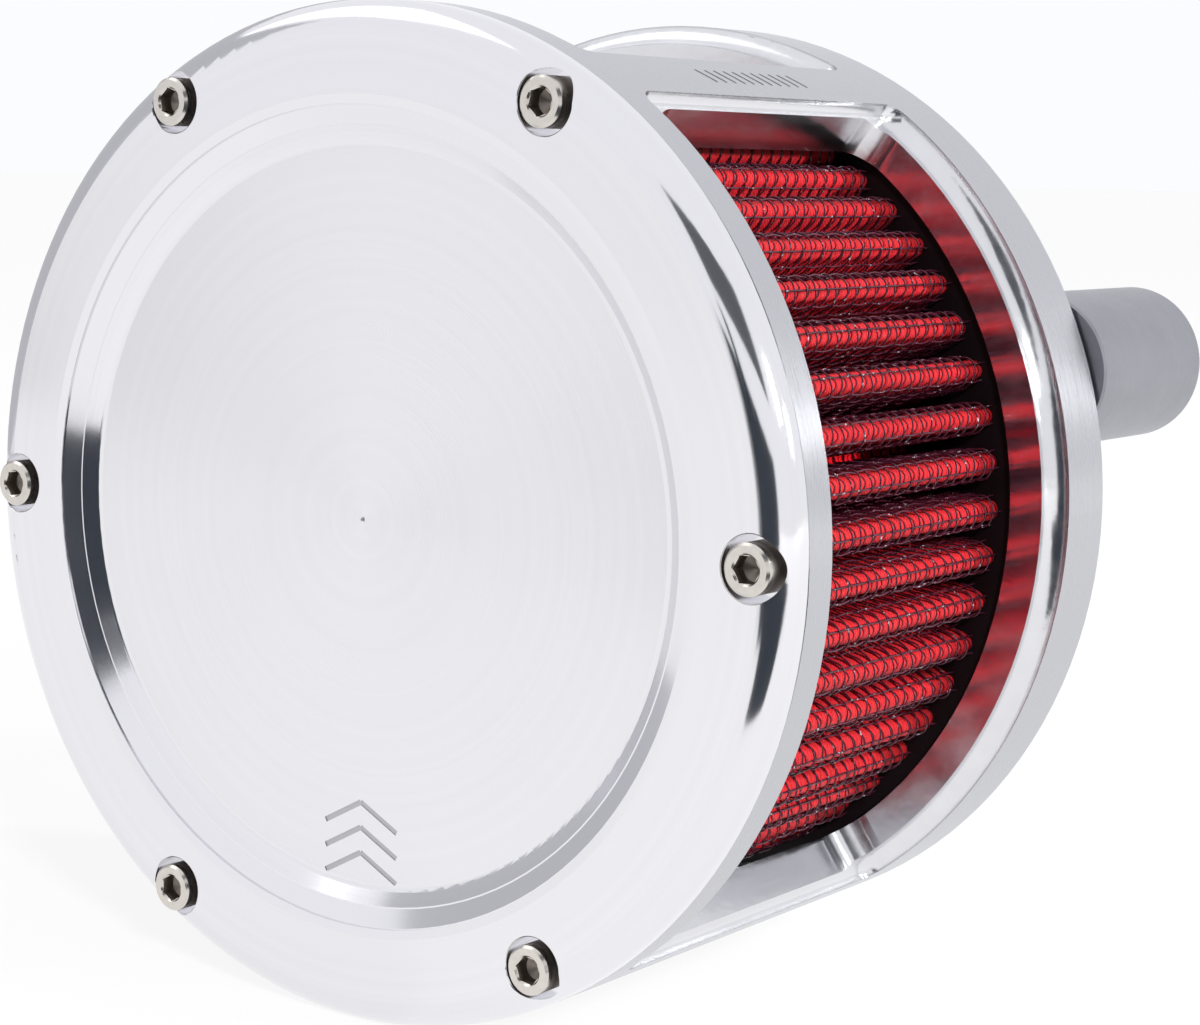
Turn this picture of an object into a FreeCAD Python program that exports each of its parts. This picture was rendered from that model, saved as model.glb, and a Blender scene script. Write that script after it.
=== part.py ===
import FreeCAD, Part
import math
import os

# A round billet air cleaner for a motorcycle engine. All lengths are millimetres.
# Y runs along the filter and the cover faces -Y. The origin is the centre of the
# throttle body face. Angles go from +X towards +Z, seen from the front.

# Driving sizes
OUTER_R = 82.55            # outside radius of the cover and the cage
BORE_R = 73.2              # bore that the element slides in
COVER_DEPTH = 6.35         # edge thickness of the cover
CAGE_DEPTH = 95.85         # cage, from its front face to its rear face
SPACER_DEPTH = 11.6        # throttle spacer, between the back plate and the throttle body
PLATE_DEPTH = 7.45         # back plate
PLATE_SEAT_DEPTH = 6.35    # how far the back plate sits in the cage
THROAT_R = 27.5            # inlet bore

# Stations along Y, worked out from the throttle body face
PLATE_REAR = -SPACER_DEPTH
PLATE_FRONT = PLATE_REAR - PLATE_DEPTH
CAGE_REAR = PLATE_FRONT + PLATE_SEAT_DEPTH
CAGE_FRONT = CAGE_REAR - CAGE_DEPTH
COVER_FRONT = CAGE_FRONT - COVER_DEPTH

# Shared by several parts
OVER = 1.0                 # how far a cutter runs past the face it starts from
ENGRAVING_DEPTH = 0.15
SEAL_CLEARANCE = 0.15      # between an O-ring and each wall of its groove

# Cover
ROUNDOVER = 4.7
EDGE_BREAK = 0.15
FLOOR_DEPTH = 3.8
FLOOR_BLEND_R = 1.6        # between the floor and the inner facet
FACET_SLOPE = 33.7         # of the inner facet, from the floor
LAND_DEPTH = 2.1
LAND_INNER_R = 62.75
LAND_OUTER_R = 63.0
STEP_DEPTH = 0.7
FACET_OUTER_R = 65.9
STEP_R = 66.1
RIM_BEVEL_R = 67.6
RIM_BEVEL_DEPTH = 0.3
SPIGOT_R = 72.9
SPIGOT_END = CAGE_FRONT + 3.15
COVER_SEAL_Y = (CAGE_FRONT + SPIGOT_END) / 2
POCKET_R = 47.0
POCKET_DEPTH = 6.0
CENTRE_MARK_R = 0.45
CHEVRON_COUNT = 3
CHEVRON_TOP_Z = -46.4
CHEVRON_PITCH = 4.2
CHEVRON_ARM = 8.6
CHEVRON_WIDTH = 0.9
CHEVRON_SLOPE = 28

# Cover screws
SCREW_CIRCLE_R = 76.54
SCREW_COUNT = 6
SCREW_HEAD_R = 3.95
SCREW_HEAD_H = 4.9
SCREW_SHANK_R = 2.4
SCREW_PROUD = 1.2           # how far the heads stand out of the rim
SCREW_END = CAGE_FRONT + 7.65
SCREW_HEAD_START = COVER_FRONT - SCREW_PROUD
SCREW_HOLE_R = 2.7
SCREW_HOLE_END = CAGE_FRONT + 8.6
COUNTERBORE_R = 5.1
SOCKET_FLATS = 4.05
SOCKET_DEPTH = 2.6
SOCKET_MOUTH = 0.1          # the socket's countersink, beyond the corners of the hexagon
SOCKET_MOUTH_DEPTH = 0.3
SOCKET_DRILL_DEPTH = 0.9
SOCKET_TURNS = (0, 17, 41, 8, 29, 50)
HEAD_CHAMFER = 0.4
POINT_CHAMFER = 0.6

# Cage windows and the ball-nosed cove along their edges
BAR_ANGLES = (60, 180, 300)
WINDOW_ANGLES = (0, 120, 240)
WINDOW_FRONT = COVER_FRONT + 16.1
WINDOW_REAR = COVER_FRONT + 85.9
WINDOW_HALF_ANGLE = 55.25
WINDOW_CORNER_R = 6.35
WINDOW_CUT_INNER_R = 60.0
WINDOW_CUT_OUTER_R = 90.0
COVE_HALF_ANGLE = 53.58
COVE_BALL_R = 3.4
PLATE_SEAT_R = 79.6
MARK_COUNT = 11
MARK_PITCH = 2.7
MARK_WIDTH = 0.8
MARK_LENGTH = 4.2
MARK_SLANT = 24
MARK_CENTRE = COVER_FRONT + 52.0

# Back plate and throttle spacer
PLATE_R = 79.5
SPACER_R = 43.0
SPACER_CHAMFER = 0.5
CAGE_SCREW_CIRCLE_R = 75.9
CAGE_SCREW_COUNT = 6
CAGE_SCREW_R = 2.0
CAGE_SCREW_HEAD_R = 3.5
CAGE_SCREW_HEAD_H = 2.2
CAGE_SCREW_END = PLATE_FRONT - 8.0
CAGE_SCREW_FLATS = 2.5
CAGE_SCREW_SOCKET_DEPTH = 1.6
STACK_SEAT_R = 30.0
STACK_SEAT_END = PLATE_FRONT + 4.0
BELL_R = 11.0              # radius that the bell mouth curves on
BELL_LIP = 2.5
BELL_START = PLATE_FRONT - 2.0
THROTTLE_ANGLES = (90, 210, 330)
THROTTLE_CIRCLE_R = 36.0
THROTTLE_SCREW_R = 3.175
THROTTLE_NECK_R = 2.8      # plain shank, up to where the thread starts
THROTTLE_NECK_END = 0.3
THROTTLE_HOLE_R = 3.4
THROTTLE_HEAD_R = 4.76
THROTTLE_HEAD_H = 6.35
THROTTLE_BORE_R = 5.1
THROTTLE_BORE_DEPTH = 6.6
THROTTLE_FLATS = 4.8
THROTTLE_SOCKET_DEPTH = 3.2
THROTTLE_SCREW_END = 12.0
THROTTLE_SEAL_R = 30.1
THROTTLE_SEAL_SECTION_R = 0.95

# Breather tubes, which slip over the breather bolts of the two cylinder heads
TUBE_X = 67.9
TUBE_Z = 22.7
TUBE_R = 13.75
TUBE_LENGTH = 39.3
TUBE_CHAMFER = 0.4
TUBE_SOCKET_R = 9.6
TUBE_SOCKET_DEPTH = 24.0
TUBE_SCREW_R = 3.1
TUBE_SCREW_HEAD_R = 6.0
TUBE_SCREW_HEAD_H = 2.9
TUBE_SCREW_END = PLATE_REAR + 12.0
TUBE_SCREW_PASSAGE_R = 1.5
TUBE_SCREW_FLATS = 4.0
TUBE_SCREW_SOCKET_DEPTH = 2.4
FACE_SEAL_R = 9.3
SEAL_SECTION_R = 0.65
SOCKET_SEAL_SECTION_R = 0.8
SOCKET_SEAL_INSET = 6.0
SOCKET_GROOVE_HALF_WIDTH = 1.1
CHANNEL_WIDTH = 5.0
CHANNEL_DEPTH = 2.5
CHANNEL_INNER_R = 43.5

# Filter element
PLEAT_COUNT = 54
PLEAT_FRONT = COVER_FRONT + 15.7
PLEAT_REAR = COVER_FRONT + 87.2
CAP_FRONT = SPIGOT_END + 0.2
CAP_OUTER_R = 72.7
CAP_INNER_R = 49.8
CAP_EDGE_R = 1.0
TIP_CENTRE_R = 68.4
TIP_R = 2.6
VALLEY_CENTRE_R = 54.2
VALLEY_R = 0.7
MESH_THICKNESS = 0.3
MEDIA_THICKNESS = 1.3
SUPPORT_INNER_R = 50.3
SUPPORT_OUTER_R = 51.1
SUPPORT_HOLE_R = 4.0
SUPPORT_HOLE_ROWS = 6
SUPPORT_HOLES_ROUND = 12

ORIGIN = FreeCAD.Vector(0, 0, 0)
ALONG = FreeCAD.Vector(0, 1, 0)


def at(radius, angle, y):
    """The point at a radius and an angle round the filter's axis."""
    turn = math.radians(angle)
    return FreeCAD.Vector(radius * math.cos(turn), y, radius * math.sin(turn))


def turned(shape, angle):
    """A copy of a shape turned round the filter's axis, from +X towards +Z."""
    result = shape.copy()
    result.rotate(ORIGIN, ALONG, -angle)
    return result


def rod(radius, start, end, centre=(0.0, 0.0)):
    """A cylinder along Y between two stations."""
    base = FreeCAD.Vector(centre[0], start, centre[1])
    return Part.makeCylinder(radius, end - start, base, ALONG)


def cone(start_r, end_r, start, end, centre=(0.0, 0.0)):
    """A cone along Y between two stations."""
    base = FreeCAD.Vector(centre[0], start, centre[1])
    return Part.makeCone(start_r, end_r, end - start, base, ALONG)


def pipe(inner, outer, start, end, centre=(0.0, 0.0)):
    """A hollow cylinder along Y."""
    return rod(outer, start, end, centre).cut(rod(inner, start - OVER, end + OVER, centre))


def o_ring(ring_r, section_r, y, centre=(0.0, 0.0)):
    """A round rubber ring lying square to Y."""
    return Part.makeTorus(ring_r, section_r, FreeCAD.Vector(centre[0], y, centre[1]), ALONG)


def seal_groove(ring_r, section_r, start, end, centre=(0.0, 0.0)):
    """The square groove that holds an O-ring."""
    reach = section_r + SEAL_CLEARANCE
    return pipe(ring_r - reach, ring_r + reach, start, end, centre)


def line(a, b):
    """A straight edge between two (radius, y) points."""
    return Part.makeLine(FreeCAD.Vector(a[0], a[1], 0), FreeCAD.Vector(b[0], b[1], 0))


def arc(a, middle, b):
    """A circular edge through three (radius, y) points."""
    points = [FreeCAD.Vector(p[0], p[1], 0) for p in (a, middle, b)]
    return Part.Arc(*points).toShape()


def spun(edges):
    """The solid that a closed (radius, y) outline makes when it turns round Y."""
    return Part.Face(Part.Wire(edges)).revolve(ORIGIN, ALONG, 360)


def on_arc(centre, radius, degrees):
    """A (radius, y) point on a circle; 0 degrees points outwards and 90 along +Y."""
    turn = math.radians(degrees)
    return (centre[0] + radius * math.cos(turn), centre[1] + radius * math.sin(turn))


def hexagon(flats, start, end, centre, turn):
    """A six-sided prism along Y, for a key socket."""
    corner = flats / math.sqrt(3)
    points = []
    for step in range(7):
        angle = math.radians(turn + 60 * step)
        x = centre[0] + corner * math.cos(angle)
        z = centre[1] + corner * math.sin(angle)
        points.append(FreeCAD.Vector(x, start, z))
    face = Part.Face(Part.makePolygon(points))
    return face.extrude(FreeCAD.Vector(0, end - start, 0))


def circle_places(radius, angles):
    """The (x, z) places on a bolt circle."""
    places = []
    for angle in angles:
        point = at(radius, angle, 0)
        places.append((point.x, point.z))
    return places


def even_angles(count):
    """Evenly spaced angles, the first on +X."""
    return [360.0 * index / count for index in range(count)]


SCREW_PLACES = circle_places(SCREW_CIRCLE_R, even_angles(SCREW_COUNT))
CAGE_SCREW_PLACES = circle_places(CAGE_SCREW_CIRCLE_R, even_angles(CAGE_SCREW_COUNT))
THROTTLE_PLACES = circle_places(THROTTLE_CIRCLE_R, THROTTLE_ANGLES)
TUBE_PLACES = {"right": (TUBE_X, TUBE_Z), "left": (-TUBE_X, TUBE_Z)}


def cover_outline():
    """Half section of the cover: dished face, rolled edge, spigot and inner pocket."""
    face = COVER_FRONT
    floor_y = face + FLOOR_DEPTH
    land_y = face + LAND_DEPTH
    step_y = face + STEP_DEPTH
    slope = math.radians(FACET_SLOPE)
    blend_rise = FLOOR_BLEND_R * (1 - math.cos(slope))
    facet_run = (FLOOR_DEPTH - LAND_DEPTH - blend_rise) / math.tan(slope)
    floor_r = LAND_INNER_R - facet_run - FLOOR_BLEND_R * math.sin(slope)
    blend = (floor_r, floor_y - FLOOR_BLEND_R)
    blend_middle = on_arc(blend, FLOOR_BLEND_R, 90 - FACET_SLOPE / 2)
    blend_end = on_arc(blend, FLOOR_BLEND_R, 90 - FACET_SLOPE)
    edge = (OUTER_R - ROUNDOVER, face + ROUNDOVER)
    seam = face + COVER_DEPTH
    return [
        line((0, floor_y), (floor_r, floor_y)),
        arc((floor_r, floor_y), blend_middle, blend_end),
        line(blend_end, (LAND_INNER_R, land_y)),
        line((LAND_INNER_R, land_y), (LAND_OUTER_R, land_y)),
        line((LAND_OUTER_R, land_y), (FACET_OUTER_R, step_y)),
        line((FACET_OUTER_R, step_y), (STEP_R, step_y)),
        line((STEP_R, step_y), (STEP_R, face + RIM_BEVEL_DEPTH)),
        line((STEP_R, face + RIM_BEVEL_DEPTH), (RIM_BEVEL_R, face)),
        line((RIM_BEVEL_R, face), (edge[0], face)),
        arc((edge[0], face), on_arc(edge, ROUNDOVER, -45), (OUTER_R, edge[1])),
        line((OUTER_R, edge[1]), (OUTER_R, seam - EDGE_BREAK)),
        line((OUTER_R, seam - EDGE_BREAK), (OUTER_R - EDGE_BREAK, seam)),
        line((OUTER_R - EDGE_BREAK, seam), (SPIGOT_R, seam)),
        line((SPIGOT_R, seam), (SPIGOT_R, SPIGOT_END)),
        line((SPIGOT_R, SPIGOT_END), (POCKET_R, SPIGOT_END)),
        line((POCKET_R, SPIGOT_END), (POCKET_R, face + POCKET_DEPTH)),
        line((POCKET_R, face + POCKET_DEPTH), (0, face + POCKET_DEPTH)),
        line((0, face + POCKET_DEPTH), (0, floor_y)),
    ]


def airflow_chevrons():
    """Plain nested chevrons, cut into the floor of the dish as decoration."""
    cuts = []
    corner = FreeCAD.Vector(0, COVER_FRONT + FLOOR_DEPTH - OVER, -CHEVRON_WIDTH / 2)
    for index in range(CHEVRON_COUNT):
        apex_z = CHEVRON_TOP_Z - CHEVRON_PITCH * index
        for side in (-1, 1):
            bar = Part.makeBox(CHEVRON_ARM, OVER + ENGRAVING_DEPTH, CHEVRON_WIDTH, corner)
            bar.rotate(ORIGIN, ALONG, CHEVRON_SLOPE)
            if side < 0:
                bar = bar.mirror(ORIGIN, FreeCAD.Vector(1, 0, 0))
            bar.translate(FreeCAD.Vector(0, 0, apex_z))
            cuts.append(bar)
    return cuts


def front_cover():
    """Billet cover with six counterbores that break out through its rolled edge."""
    cover = spun(cover_outline())
    cuts = []
    seat_y = SCREW_HEAD_START + SCREW_HEAD_H
    for place in SCREW_PLACES:
        cuts.append(rod(COUNTERBORE_R, COVER_FRONT - OVER, seat_y, place))
        cuts.append(rod(SCREW_HOLE_R, COVER_FRONT, CAGE_FRONT + OVER, place))
        rim_r = COUNTERBORE_R + EDGE_BREAK
        cuts.append(cone(rim_r, COUNTERBORE_R, COVER_FRONT, COVER_FRONT + EDGE_BREAK, place))
    floor_y = COVER_FRONT + FLOOR_DEPTH
    cuts.append(cone(CENTRE_MARK_R, 0, floor_y, floor_y + CENTRE_MARK_R))
    cuts.append(cover_seal_groove())
    cuts.extend(airflow_chevrons())
    return cover.cut(cuts)


def cover_seal_groove():
    """Groove round the spigot."""
    bottom_r = SPIGOT_R - 2 * SEAL_SECTION_R
    reach = SEAL_SECTION_R + SEAL_CLEARANCE
    return pipe(bottom_r, SPIGOT_R + OVER, COVER_SEAL_Y - reach, COVER_SEAL_Y + reach)


def cover_seal():
    """Rubber ring in the spigot's groove."""
    return o_ring(SPIGOT_R - SEAL_SECTION_R, SEAL_SECTION_R, COVER_SEAL_Y)


def cap_screw(head_r, head_h, shank_r, head_start, end, place):
    """Socket head cap screw without its key socket."""
    rim = head_start + HEAD_CHAMFER
    head = cone(head_r - HEAD_CHAMFER, head_r, head_start, rim, place)
    head = head.fuse(rod(head_r, rim, head_start + head_h, place))
    point = end - POINT_CHAMFER
    shank = rod(shank_r, head_start + head_h, point, place)
    tip = cone(shank_r, shank_r - POINT_CHAMFER, point, end, place)
    return head.multiFuse([shank, tip]).removeSplitter()


def cover_screws():
    """Six socket head cap screws, a little proud of the cover's rim."""
    screws = []
    start = SCREW_HEAD_START
    mouth_r = SOCKET_FLATS / math.sqrt(3) + SOCKET_MOUTH
    mouth_end = start + SOCKET_MOUTH_DEPTH
    key_end = start + SOCKET_DEPTH
    for place, turn in zip(SCREW_PLACES, SOCKET_TURNS):
        screw = cap_screw(SCREW_HEAD_R, SCREW_HEAD_H, SCREW_SHANK_R, start, SCREW_END, place)
        mouth = cone(mouth_r, mouth_r - SOCKET_MOUTH_DEPTH, start, mouth_end, place)
        key = hexagon(SOCKET_FLATS, start - OVER, key_end, place, turn)
        bottom = cone(SOCKET_FLATS / 2, 0, key_end, key_end + SOCKET_DRILL_DEPTH, place)
        screws.append(screw.cut([mouth, key, bottom]))
    return Part.makeCompound(screws)


def window_opening():
    """Radial opening of one window, centred on +X, with milled corners."""
    inner_r = WINDOW_CUT_INNER_R
    outer_r = WINDOW_CUT_OUTER_R
    outline = [
        line((inner_r, WINDOW_FRONT), (outer_r, WINDOW_FRONT)),
        line((outer_r, WINDOW_FRONT), (outer_r, WINDOW_REAR)),
        line((outer_r, WINDOW_REAR), (inner_r, WINDOW_REAR)),
        line((inner_r, WINDOW_REAR), (inner_r, WINDOW_FRONT)),
    ]
    sector = Part.Face(Part.Wire(outline)).revolve(ORIGIN, ALONG, 2 * WINDOW_HALF_ANGLE)
    sector = turned(sector, WINDOW_HALF_ANGLE)
    corners = []
    for edge in sector.Edges:
        straight = isinstance(edge.Curve, (Part.Line, Part.LineSegment))
        if straight and abs(edge.Length - (outer_r - inner_r)) < 0.01:
            corners.append(edge)
    return sector.makeFillet(WINDOW_CORNER_R, corners)


def window_cove():
    """Groove that a ball-nosed cutter leaves round the window's outer edge."""
    pieces = []
    for y in (WINDOW_FRONT, WINDOW_REAR):
        circle = Part.makeCircle(COVE_BALL_R, FreeCAD.Vector(OUTER_R, y, 0), FreeCAD.Vector(0, 0, 1))
        groove = Part.Face(Part.Wire(circle)).revolve(ORIGIN, ALONG, 2 * COVE_HALF_ANGLE)
        pieces.append(turned(groove, COVE_HALF_ANGLE))
        for angle in (-COVE_HALF_ANGLE, COVE_HALF_ANGLE):
            pieces.append(Part.makeSphere(COVE_BALL_R, at(OUTER_R, angle, y)))
    for angle in (-COVE_HALF_ANGLE, COVE_HALF_ANGLE):
        place = at(OUTER_R, angle, 0)
        pieces.append(rod(COVE_BALL_R, WINDOW_FRONT, WINDOW_REAR, (place.x, place.z)))
    return pieces


def index_marks():
    """Row of plain slanted strokes, cut into the outside of the upper right bar."""
    marks = []
    corner = FreeCAD.Vector(OUTER_R - ENGRAVING_DEPTH, -MARK_WIDTH / 2, -MARK_LENGTH / 2)
    for index in range(MARK_COUNT):
        y = MARK_CENTRE + MARK_PITCH * (index - (MARK_COUNT - 1) / 2)
        mark = Part.makeBox(ENGRAVING_DEPTH + OVER, MARK_WIDTH, MARK_LENGTH, corner)
        mark.rotate(ORIGIN, FreeCAD.Vector(1, 0, 0), MARK_SLANT)
        mark.translate(FreeCAD.Vector(0, y, 0))
        marks.append(turned(mark, BAR_ANGLES[0]))
    return marks


def filter_cage():
    """One-piece billet cage: front ring, three bars and rear ring."""
    edge = EDGE_BREAK
    outline = [
        line((BORE_R, CAGE_FRONT), (OUTER_R - edge, CAGE_FRONT)),
        line((OUTER_R - edge, CAGE_FRONT), (OUTER_R, CAGE_FRONT + edge)),
        line((OUTER_R, CAGE_FRONT + edge), (OUTER_R, CAGE_REAR - edge)),
        line((OUTER_R, CAGE_REAR - edge), (OUTER_R - edge, CAGE_REAR)),
        line((OUTER_R - edge, CAGE_REAR), (PLATE_SEAT_R, CAGE_REAR)),
        line((PLATE_SEAT_R, CAGE_REAR), (PLATE_SEAT_R, PLATE_FRONT)),
        line((PLATE_SEAT_R, PLATE_FRONT), (BORE_R, PLATE_FRONT)),
        line((BORE_R, PLATE_FRONT), (BORE_R, CAGE_FRONT)),
    ]
    cage = spun(outline)
    opening = window_opening()
    for angle in WINDOW_ANGLES:
        cage = cage.cut(turned(opening, angle))
    for angle in WINDOW_ANGLES:
        cage = cage.cut([turned(piece, angle) for piece in window_cove()])
    holes = [rod(SCREW_HOLE_R, CAGE_FRONT - OVER, SCREW_HOLE_END, place) for place in SCREW_PLACES]
    for place in CAGE_SCREW_PLACES:
        holes.append(rod(CAGE_SCREW_R, CAGE_SCREW_END, PLATE_FRONT + OVER, place))
    return cage.cut(holes + index_marks())


def breather_channel(place):
    """Slot in the plate's front face, from a breather screw to the clean side."""
    reach = math.hypot(place[0], place[1])
    angle = math.degrees(math.atan2(place[1], place[0]))
    corner = FreeCAD.Vector(CHANNEL_INNER_R, PLATE_FRONT - OVER, -CHANNEL_WIDTH / 2)
    slot = Part.makeBox(reach - CHANNEL_INNER_R, CHANNEL_DEPTH + OVER, CHANNEL_WIDTH, corner)
    return turned(slot, angle)


def back_plate():
    """Round billet plate that closes the rear of the cage."""
    outline = [
        line((THROAT_R, STACK_SEAT_END), (THROAT_R, PLATE_REAR)),
        line((THROAT_R, PLATE_REAR), (PLATE_R, PLATE_REAR)),
        line((PLATE_R, PLATE_REAR), (PLATE_R, PLATE_FRONT)),
        line((PLATE_R, PLATE_FRONT), (STACK_SEAT_R, PLATE_FRONT)),
        line((STACK_SEAT_R, PLATE_FRONT), (STACK_SEAT_R, STACK_SEAT_END)),
        line((STACK_SEAT_R, STACK_SEAT_END), (THROAT_R, STACK_SEAT_END)),
    ]
    plate = spun(outline)
    cuts = []
    for place in THROTTLE_PLACES:
        bore_end = PLATE_FRONT + THROTTLE_BORE_DEPTH
        cuts.append(rod(THROTTLE_BORE_R, PLATE_FRONT - OVER, bore_end, place))
        cuts.append(rod(THROTTLE_HOLE_R, PLATE_FRONT, PLATE_REAR + OVER, place))
    for place in CAGE_SCREW_PLACES:
        cuts.append(rod(CAGE_SCREW_R, PLATE_FRONT - OVER, PLATE_REAR, place))
        sink_start = PLATE_REAR - CAGE_SCREW_HEAD_H
        cuts.append(cone(CAGE_SCREW_R, CAGE_SCREW_HEAD_R, sink_start, PLATE_REAR, place))
    for place in TUBE_PLACES.values():
        cuts.append(breather_channel(place))
        cuts.append(rod(TUBE_SCREW_R, PLATE_FRONT - OVER, PLATE_REAR + OVER, place))
        sink_end = PLATE_FRONT + TUBE_SCREW_HEAD_H
        cuts.append(cone(TUBE_SCREW_HEAD_R, TUBE_SCREW_R, PLATE_FRONT, sink_end, place))
    return plate.cut(cuts)


def throttle_spacer():
    """Ring between the back plate and the throttle body, with an O-ring groove in each face."""
    outline = [
        line((THROAT_R, PLATE_REAR), (THROAT_R, 0)),
        line((THROAT_R, 0), (SPACER_R - SPACER_CHAMFER, 0)),
        line((SPACER_R - SPACER_CHAMFER, 0), (SPACER_R, -SPACER_CHAMFER)),
        line((SPACER_R, -SPACER_CHAMFER), (SPACER_R, PLATE_REAR)),
        line((SPACER_R, PLATE_REAR), (THROAT_R, PLATE_REAR)),
    ]
    groove_depth = 2 * THROTTLE_SEAL_SECTION_R
    front = (PLATE_REAR - OVER, PLATE_REAR + groove_depth)
    rear = (-groove_depth, OVER)
    cuts = [seal_groove(THROTTLE_SEAL_R, THROTTLE_SEAL_SECTION_R, *face) for face in (front, rear)]
    for place in THROTTLE_PLACES:
        cuts.append(rod(THROTTLE_HOLE_R, PLATE_REAR - OVER, OVER, place))
    return spun(outline).cut(cuts)


def velocity_stack():
    """Bell mouth that leads the air into the throat."""
    centre = (THROAT_R + BELL_R, BELL_START)
    outside_bell_r = BELL_R - BELL_LIP
    outside_r = THROAT_R + BELL_LIP
    inner_end = on_arc(centre, BELL_R, 270)
    outer_end = on_arc(centre, outside_bell_r, 270)
    lip_middle = (centre[0] + BELL_LIP / 2, (inner_end[1] + outer_end[1]) / 2)
    outline = [
        line((THROAT_R, STACK_SEAT_END), (THROAT_R, BELL_START)),
        arc((THROAT_R, BELL_START), on_arc(centre, BELL_R, 225), inner_end),
        arc(inner_end, lip_middle, outer_end),
        arc(outer_end, on_arc(centre, outside_bell_r, 225), (outside_r, BELL_START)),
        line((outside_r, BELL_START), (outside_r, STACK_SEAT_END)),
        line((outside_r, STACK_SEAT_END), (THROAT_R, STACK_SEAT_END)),
    ]
    return spun(outline)


def cage_screws():
    """Six countersunk screws that hold the cage to the back plate."""
    screws = []
    for place in CAGE_SCREW_PLACES:
        sink_start = PLATE_REAR - CAGE_SCREW_HEAD_H
        shank = rod(CAGE_SCREW_R, CAGE_SCREW_END, sink_start, place)
        head = cone(CAGE_SCREW_R, CAGE_SCREW_HEAD_R, sink_start, PLATE_REAR, place)
        key_start = PLATE_REAR - CAGE_SCREW_SOCKET_DEPTH
        key = hexagon(CAGE_SCREW_FLATS, key_start, PLATE_REAR + OVER, place, 0)
        screws.append(shank.fuse(head).cut(key))
    return Part.makeCompound(screws)


def throttle_screws():
    """Three cap screws that reach through plate and spacer into the throttle body."""
    screws = []
    head_start = PLATE_FRONT + THROTTLE_BORE_DEPTH - THROTTLE_HEAD_H
    head_end = head_start + THROTTLE_HEAD_H
    key_end = head_start + THROTTLE_SOCKET_DEPTH
    for place in THROTTLE_PLACES:
        screw = cap_screw(THROTTLE_HEAD_R, THROTTLE_HEAD_H, THROTTLE_SCREW_R,
                          head_start, THROTTLE_SCREW_END, place)
        key = hexagon(THROTTLE_FLATS, head_start - OVER, key_end, place, 0)
        relief = pipe(THROTTLE_NECK_R, THROTTLE_SCREW_R + OVER, head_end, THROTTLE_NECK_END, place)
        screws.append(screw.cut([key, relief]))
    return Part.makeCompound(screws)


def throttle_seal():
    """O-ring between the spacer and the throttle body."""
    return o_ring(THROTTLE_SEAL_R, THROTTLE_SEAL_SECTION_R, -THROTTLE_SEAL_SECTION_R)


def spacer_seal():
    """O-ring between the back plate and the spacer."""
    return o_ring(THROTTLE_SEAL_R, THROTTLE_SEAL_SECTION_R, PLATE_REAR + THROTTLE_SEAL_SECTION_R)


def breather_tube(place):
    """Tube from the back plate to a cylinder head, with a socket in its rear end."""
    start = PLATE_REAR
    end = PLATE_REAR + TUBE_LENGTH
    front_rim = start + TUBE_CHAMFER
    rear_rim = end - TUBE_CHAMFER
    tube = cone(TUBE_R - TUBE_CHAMFER, TUBE_R, start, front_rim, place)
    tube = tube.fuse(rod(TUBE_R, front_rim, rear_rim, place))
    tube = tube.fuse(cone(TUBE_R, TUBE_R - TUBE_CHAMFER, rear_rim, end, place)).removeSplitter()
    socket_start = end - TUBE_SOCKET_DEPTH
    groove_r = TUBE_SOCKET_R + 2 * SOCKET_SEAL_SECTION_R
    groove_start = end - SOCKET_SEAL_INSET - SOCKET_GROOVE_HALF_WIDTH
    groove_end = groove_start + 2 * SOCKET_GROOVE_HALF_WIDTH
    face_groove_end = start + 2 * SEAL_SECTION_R
    return tube.cut([
        rod(TUBE_SOCKET_R, socket_start, end + OVER, place),
        rod(TUBE_SCREW_R, start - OVER, socket_start + OVER, place),
        rod(groove_r, groove_start, groove_end, place),
        seal_groove(FACE_SEAL_R, SEAL_SECTION_R, start - OVER, face_groove_end, place),
    ])


def breather_screw(place):
    """Countersunk screw with a drilled passage, from the plate into a tube."""
    sink_end = PLATE_FRONT + TUBE_SCREW_HEAD_H
    head = cone(TUBE_SCREW_HEAD_R, TUBE_SCREW_R, PLATE_FRONT, sink_end, place)
    shank = rod(TUBE_SCREW_R, sink_end, TUBE_SCREW_END, place)
    key_end = PLATE_FRONT + TUBE_SCREW_SOCKET_DEPTH
    return head.fuse(shank).cut([
        rod(TUBE_SCREW_PASSAGE_R, PLATE_FRONT - OVER, TUBE_SCREW_END + OVER, place),
        hexagon(TUBE_SCREW_FLATS, PLATE_FRONT - OVER, key_end, place, 0),
        breather_channel(place),
    ])


def face_seal(place):
    """O-ring between the back plate and a breather tube."""
    return o_ring(FACE_SEAL_R, SEAL_SECTION_R, PLATE_REAR + SEAL_SECTION_R, place)


def socket_seal(place):
    """O-ring inside a breather tube's socket."""
    seal_y = PLATE_REAR + TUBE_LENGTH - SOCKET_SEAL_INSET
    return o_ring(TUBE_SOCKET_R + SOCKET_SEAL_SECTION_R, SOCKET_SEAL_SECTION_R, seal_y, place)


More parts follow.
